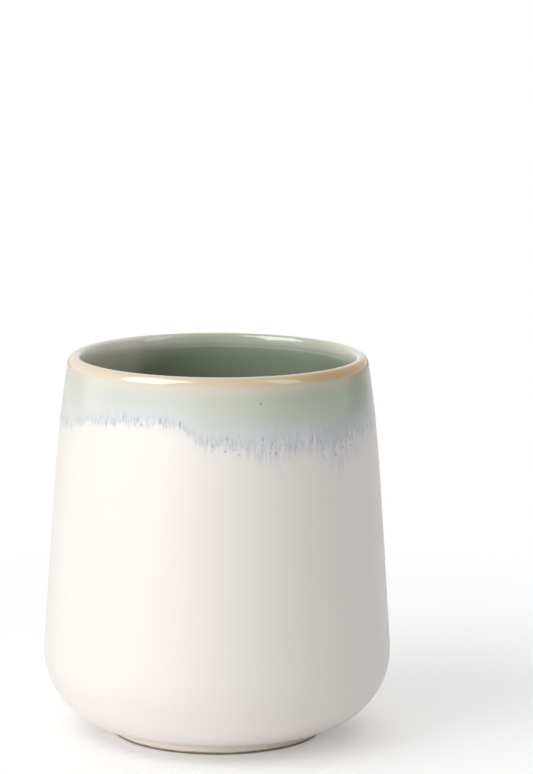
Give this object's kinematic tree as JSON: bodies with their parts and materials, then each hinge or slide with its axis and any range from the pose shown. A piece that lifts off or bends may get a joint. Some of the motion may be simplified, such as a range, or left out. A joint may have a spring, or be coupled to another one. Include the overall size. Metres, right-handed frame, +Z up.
{
  "type": "toothbrush holder",
  "caption": "Free-standing glazed stoneware tumbler for toothbrushes: round-bottomed cup that tapers to a rounded lip, with a mint glaze band running down over a white body.",
  "frame": {"origin": "centre of the foot ring, on the surface that the cup stands on", "axes": "+Z up along the axis of the cup; -Y is the front, the side that the picture shows"},
  "size_m": [0.088, 0.088, 0.0964],
  "materials": {
    "bare_stoneware": "bare fired clay, matt",
    "white_glaze": "warm white satin glaze",
    "mint_glaze": "glossy pale mint glaze with a ragged blue-flecked edge",
    "honey_glaze": "glossy honey glaze, thin over the lip",
    "lining_glaze": "glossy sage green glaze"
  },
  "bodies": {
    "root": {"stoneware_body": "bare_stoneware", "white_glaze_coat": "white_glaze", "mint_glaze_band": "mint_glaze", "honey_lip_glaze": "honey_glaze", "mint_glaze_lining": "lining_glaze", "base_recess_glaze": "white_glaze"}
  },
  "joints": []
}
